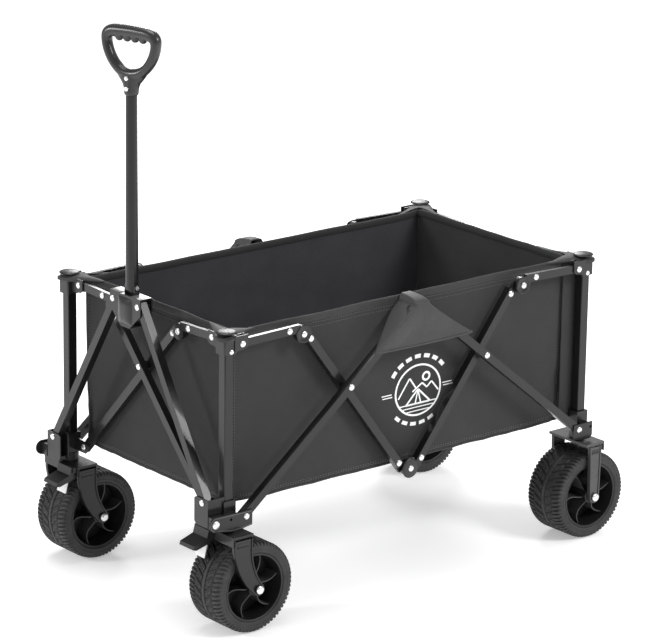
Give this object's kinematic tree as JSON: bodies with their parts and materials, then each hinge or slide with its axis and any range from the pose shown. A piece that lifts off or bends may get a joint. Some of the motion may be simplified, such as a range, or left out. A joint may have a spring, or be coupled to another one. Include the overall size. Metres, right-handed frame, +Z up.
{
  "type": "folding camp wagon",
  "caption": "Folding camp wagon with scissor side and end frames, fabric basket, wide wheels, braked front casters and a tilting pull handle.",
  "frame": {"origin": "on the ground under the middle of the overall box", "axes": "+Z up, the handle end at -X, the left side at -Y"},
  "size_m": [1.06, 0.623, 1.13],
  "materials": {
    "painted_tube": "satin",
    "painted_sheet": "satin",
    "moulded_plastic": "fine grain",
    "grip_plastic": "satin",
    "zinc_steel": "zinc plated",
    "tyre_rubber": "matte moulded",
    "rim_plastic": "satin",
    "basket_fabric": "woven polyester",
    "floor_fabric": "woven polyester over board"
  },
  "bodies": {
    "front_left": {"post_front_left": "painted_tube", "corner_joint_front_left": "moulded_plastic", "lower_bracket_front_left": "painted_sheet", "side_panel_left": "basket_fabric", "end_panel_front": "basket_fabric"},
    "front_right": {"post_front_right": "painted_tube", "corner_joint_front_right": "moulded_plastic", "lower_bracket_front_right": "painted_sheet", "side_panel_right": "basket_fabric"},
    "rear_left": {"post_rear_left": "painted_tube", "corner_joint_rear_left": "moulded_plastic", "lower_bracket_rear_left": "painted_sheet", "fork_rear_left": "painted_sheet", "end_panel_rear": "basket_fabric"},
    "rear_right": {"post_rear_right": "painted_tube", "corner_joint_rear_right": "moulded_plastic", "lower_bracket_rear_right": "painted_sheet", "fork_rear_right": "painted_sheet"},
    "outer_arm_front_left": {"outer_arm_front_left": "painted_tube"},
    "inner_arm_front_left": {"inner_arm_front_left": "painted_tube"},
    "top_link_front_left": {"top_link_front_left": "painted_tube"},
    "end_link_front_left": {"end_link_front_left": "painted_tube"},
    "wheel_front_left": {"tyre_front_left": "tyre_rubber", "rim_front_left": "rim_plastic"},
    "outer_arm_front_right": {"outer_arm_front_right": "painted_tube"},
    "inner_arm_front_right": {"inner_arm_front_right": "painted_tube"},
    "top_link_front_right": {"top_link_front_right": "painted_tube"},
    "end_link_front_right": {"end_link_front_right": "painted_tube"},
    "wheel_front_right": {"tyre_front_right": "tyre_rubber", "rim_front_right": "rim_plastic"},
    "end_arm_front_outer": {"end_arm_front_outer": "painted_tube"},
    "end_arm_front_inner": {"end_arm_front_inner": "painted_tube"},
    "outer_arm_rear_left": {"outer_arm_rear_left": "painted_tube"},
    "inner_arm_rear_left": {"inner_arm_rear_left": "painted_tube"},
    "top_link_rear_left": {"top_link_rear_left": "painted_tube"},
    "end_link_rear_left": {"end_link_rear_left": "painted_tube"},
    "wheel_rear_left": {"tyre_rear_left": "tyre_rubber", "rim_rear_left": "rim_plastic"},
    "outer_arm_rear_right": {"outer_arm_rear_right": "painted_tube"},
    "inner_arm_rear_right": {"inner_arm_rear_right": "painted_tube"},
    "top_link_rear_right": {"top_link_rear_right": "painted_tube"},
    "end_link_rear_right": {"end_link_rear_right": "painted_tube"},
    "wheel_rear_right": {"tyre_rear_right": "tyre_rubber", "rim_rear_right": "rim_plastic"},
    "end_arm_rear_outer": {"end_arm_rear_outer": "painted_tube"},
    "end_arm_rear_inner": {"end_arm_rear_inner": "painted_tube"},
    "caster_left": {"fork_front_left": "painted_sheet"},
    "brake_left": {"brake_pedal_left": "moulded_plastic", "brake_plate_left": "zinc_steel"},
    "handle_support_left": {"handle_support_left": "painted_tube"},
    "floor_left": {"floor_left": "floor_fabric"},
    "caster_right": {"fork_front_right": "painted_sheet"},
    "brake_right": {"brake_pedal_right": "moulded_plastic", "brake_plate_right": "zinc_steel"},
    "handle_support_right": {"handle_support_right": "painted_tube"},
    "floor_right": {"floor_right": "floor_fabric"},
    "handle_bracket": {"handle_bracket": "painted_sheet", "handle_pivot_pin": "zinc_steel"},
    "handle": {"handle_tube": "painted_tube", "handle_grip": "grip_plastic"}
  },
  "joints": [
    {"name": "fold", "type": "hinge", "parent": "front_left", "child": "outer_arm_front_left", "pos_m": [-0.435, -0.273, 0.232], "axis": [0, -1, 0], "range_deg": [0, 42.4], "deforming": ["side_panel_left", "side_panel_right", "end_panel_front", "end_panel_rear", "floor_left", "floor_right"]},
    {"name": "top_centre_pivot_left", "type": "hinge", "parent": "outer_arm_front_left", "child": "outer_arm_rear_left", "pos_m": [-0.01, -0.273, 0.56], "axis": [0, -1, 0], "range_deg": [-84.8, 0]},
    {"name": "rear_bracket_pivot_left", "type": "hinge", "parent": "outer_arm_rear_left", "child": "rear_left", "pos_m": [0.415, -0.273, 0.232], "axis": [0, -1, 0], "range_deg": [0, 42.4]},
    {"name": "crossing_front_left", "type": "hinge", "parent": "outer_arm_front_left", "child": "inner_arm_front_left", "pos_m": [-0.182, -0.273, 0.436], "axis": [0, -1, 0], "range_deg": [-73.08, 0]},
    {"name": "crossing_rear_left", "type": "hinge", "parent": "outer_arm_rear_left", "child": "inner_arm_rear_left", "pos_m": [0.162, -0.273, 0.436], "axis": [0, -1, 0], "range_deg": [0, 73.08]},
    {"name": "top_link_pivot_front_left", "type": "hinge", "parent": "front_left", "child": "top_link_front_left", "pos_m": [-0.434, -0.273, 0.5654], "axis": [0, -1, 0], "range_deg": [0, 85.44]},
    {"name": "top_link_pivot_rear_left", "type": "hinge", "parent": "rear_left", "child": "top_link_rear_left", "pos_m": [0.414, -0.273, 0.5654], "axis": [0, -1, 0], "range_deg": [-85.44, 0]},
    {"name": "front_bracket_pivot_right", "type": "hinge", "parent": "front_right", "child": "outer_arm_front_right", "pos_m": [-0.435, 0.273, 0.232], "axis": [0, -1, 0], "range_deg": [0, 42.4]},
    {"name": "top_centre_pivot_right", "type": "hinge", "parent": "outer_arm_front_right", "child": "outer_arm_rear_right", "pos_m": [-0.01, 0.273, 0.56], "axis": [0, -1, 0], "range_deg": [-84.8, 0]},
    {"name": "rear_bracket_pivot_right", "type": "hinge", "parent": "outer_arm_rear_right", "child": "rear_right", "pos_m": [0.415, 0.273, 0.232], "axis": [0, -1, 0], "range_deg": [0, 42.4]},
    {"name": "crossing_front_right", "type": "hinge", "parent": "outer_arm_front_right", "child": "inner_arm_front_right", "pos_m": [-0.182, 0.273, 0.436], "axis": [0, -1, 0], "range_deg": [-73.08, 0]},
    {"name": "crossing_rear_right", "type": "hinge", "parent": "outer_arm_rear_right", "child": "inner_arm_rear_right", "pos_m": [0.162, 0.273, 0.436], "axis": [0, -1, 0], "range_deg": [0, 73.08]},
    {"name": "top_link_pivot_front_right", "type": "hinge", "parent": "front_right", "child": "top_link_front_right", "pos_m": [-0.434, 0.273, 0.5654], "axis": [0, -1, 0], "range_deg": [0, 85.44]},
    {"name": "top_link_pivot_rear_right", "type": "hinge", "parent": "rear_right", "child": "top_link_rear_right", "pos_m": [0.414, 0.273, 0.5654], "axis": [0, -1, 0], "range_deg": [-85.44, 0]},
    {"name": "end_arm_pivot_front", "type": "hinge", "parent": "front_left", "child": "end_arm_front_outer", "pos_m": [-0.47, -0.211, 0.238], "axis": [1, 0, 0], "range_deg": [0, 36.8]},
    {"name": "end_crossing_front", "type": "hinge", "parent": "end_arm_front_outer", "child": "end_arm_front_inner", "pos_m": [-0.47, 0, 0.4615], "axis": [1, 0, 0], "range_deg": [-73.61, 0]},
    {"name": "end_arm_pivot_front_right", "type": "hinge", "parent": "end_arm_front_inner", "child": "front_right", "pos_m": [-0.47, 0.211, 0.238], "axis": [1, 0, 0], "range_deg": [0, 36.8]},
    {"name": "end_link_pivot_front_left", "type": "hinge", "parent": "front_left", "child": "end_link_front_left", "pos_m": [-0.47, -0.214, 0.571], "axis": [1, 0, 0], "range_deg": [0, 93.2]},
    {"name": "end_link_pivot_front_right", "type": "hinge", "parent": "front_right", "child": "end_link_front_right", "pos_m": [-0.47, 0.214, 0.571], "axis": [1, 0, 0], "range_deg": [-93.2, 0]},
    {"name": "end_arm_pivot_rear", "type": "hinge", "parent": "rear_left", "child": "end_arm_rear_outer", "pos_m": [0.45, -0.211, 0.238], "axis": [1, 0, 0], "range_deg": [0, 36.8]},
    {"name": "end_crossing_rear", "type": "hinge", "parent": "end_arm_rear_outer", "child": "end_arm_rear_inner", "pos_m": [0.45, 0, 0.4615], "axis": [1, 0, 0], "range_deg": [-73.61, 0]},
    {"name": "end_link_pivot_rear_left", "type": "hinge", "parent": "rear_left", "child": "end_link_rear_left", "pos_m": [0.45, -0.214, 0.571], "axis": [1, 0, 0], "range_deg": [0, 93.2]},
    {"name": "end_link_pivot_rear_right", "type": "hinge", "parent": "rear_right", "child": "end_link_rear_right", "pos_m": [0.45, 0.214, 0.571], "axis": [1, 0, 0], "range_deg": [-93.2, 0]},
    {"name": "handle_support_pivot_left", "type": "hinge", "parent": "front_left", "child": "handle_support_left", "pos_m": [-0.498, -0.243, 0.262], "axis": [1, 0, 0], "range_deg": [0, 27.43]},
    {"name": "handle_support_pivot_right", "type": "hinge", "parent": "front_right", "child": "handle_support_right", "pos_m": [-0.498, 0.243, 0.262], "axis": [1, 0, 0], "range_deg": [-27.43, 0]},
    {"name": "handle_bracket_pivot", "type": "hinge", "parent": "handle_support_left", "child": "handle_bracket", "pos_m": [-0.498, -0.0395, 0.5945], "axis": [1, 0, 0], "range_deg": [-27.43, 0]},
    {"name": "handle_tilt", "type": "hinge", "parent": "handle_bracket", "child": "handle", "pos_m": [-0.492, 0, 0.6235], "axis": [0, -1, 0], "range_deg": [0, 90]},
    {"name": "floor_hinge_left", "type": "hinge", "parent": "front_left", "child": "floor_left", "pos_m": [-0.01, -0.227, 0.2445], "axis": [1, 0, 0], "range_deg": [0, 77.42]},
    {"name": "floor_hinge_right", "type": "hinge", "parent": "front_right", "child": "floor_right", "pos_m": [-0.01, 0.227, 0.2445], "axis": [1, 0, 0], "range_deg": [-77.42, 0]},
    {"name": "caster_swivel_left", "type": "hinge", "parent": "front_left", "child": "caster_left", "pos_m": [-0.46, -0.251, 0.2235], "axis": [0, 0, 1], "continuous": true},
    {"name": "wheel_spin_front_left", "type": "hinge", "parent": "caster_left", "child": "wheel_front_left", "pos_m": [-0.423, -0.251, 0.09], "axis": [0, 1, 0], "continuous": true},
    {"name": "wheel_spin_rear_left", "type": "hinge", "parent": "rear_left", "child": "wheel_rear_left", "pos_m": [0.44, -0.251, 0.09], "axis": [0, 1, 0], "continuous": true},
    {"name": "brake_tilt_left", "type": "hinge", "parent": "caster_left", "child": "brake_left", "pos_m": [-0.487, -0.251, 0.199], "axis": [0, -1, 0], "range_deg": [0, 6]},
    {"name": "caster_swivel_right", "type": "hinge", "parent": "front_right", "child": "caster_right", "pos_m": [-0.46, 0.251, 0.2235], "axis": [0, 0, 1], "continuous": true},
    {"name": "wheel_spin_front_right", "type": "hinge", "parent": "caster_right", "child": "wheel_front_right", "pos_m": [-0.423, 0.251, 0.09], "axis": [0, 1, 0], "continuous": true},
    {"name": "wheel_spin_rear_right", "type": "hinge", "parent": "rear_right", "child": "wheel_rear_right", "pos_m": [0.44, 0.251, 0.09], "axis": [0, 1, 0], "continuous": true},
    {"name": "brake_tilt_right", "type": "hinge", "parent": "caster_right", "child": "brake_right", "pos_m": [-0.487, 0.251, 0.199], "axis": [0, -1, 0], "range_deg": [0, 6]}
  ],
  "couplings": [
    {"joint": "top_centre_pivot_left", "follows": "fold", "ratio": -2},
    {"joint": "rear_bracket_pivot_left", "follows": "fold", "ratio": 1},
    {"joint": "crossing_front_left", "follows": "fold", "ratio": -1.7237},
    {"joint": "crossing_rear_left", "follows": "fold", "ratio": 1.7237},
    {"joint": "top_link_pivot_front_left", "follows": "fold", "ratio": 2.015},
    {"joint": "top_link_pivot_rear_left", "follows": "fold", "ratio": -2.015},
    {"joint": "front_bracket_pivot_right", "follows": "fold", "ratio": 1},
    {"joint": "top_centre_pivot_right", "follows": "fold", "ratio": -2},
    {"joint": "rear_bracket_pivot_right", "follows": "fold", "ratio": 1},
    {"joint": "crossing_front_right", "follows": "fold", "ratio": -1.7237},
    {"joint": "crossing_rear_right", "follows": "fold", "ratio": 1.7237},
    {"joint": "top_link_pivot_front_right", "follows": "fold", "ratio": 2.015},
    {"joint": "top_link_pivot_rear_right", "follows": "fold", "ratio": -2.015},
    {"joint": "end_arm_pivot_front", "follows": "fold", "ratio": 0.868},
    {"joint": "end_crossing_front", "follows": "fold", "ratio": -1.736},
    {"joint": "end_arm_pivot_front_right", "follows": "fold", "ratio": 0.868},
    {"joint": "end_link_pivot_front_left", "follows": "fold", "ratio": 2.198},
    {"joint": "end_link_pivot_front_right", "follows": "fold", "ratio": -2.198},
    {"joint": "end_arm_pivot_rear", "follows": "fold", "ratio": 0.868},
    {"joint": "end_crossing_rear", "follows": "fold", "ratio": -1.736},
    {"joint": "end_link_pivot_rear_left", "follows": "fold", "ratio": 2.198},
    {"joint": "end_link_pivot_rear_right", "follows": "fold", "ratio": -2.198},
    {"joint": "handle_support_pivot_left", "follows": "fold", "ratio": 0.647},
    {"joint": "handle_support_pivot_right", "follows": "fold", "ratio": -0.647},
    {"joint": "handle_bracket_pivot", "follows": "fold", "ratio": -0.647},
    {"joint": "floor_hinge_left", "follows": "fold", "ratio": 1.826},
    {"joint": "floor_hinge_right", "follows": "fold", "ratio": -1.826}
  ]
}
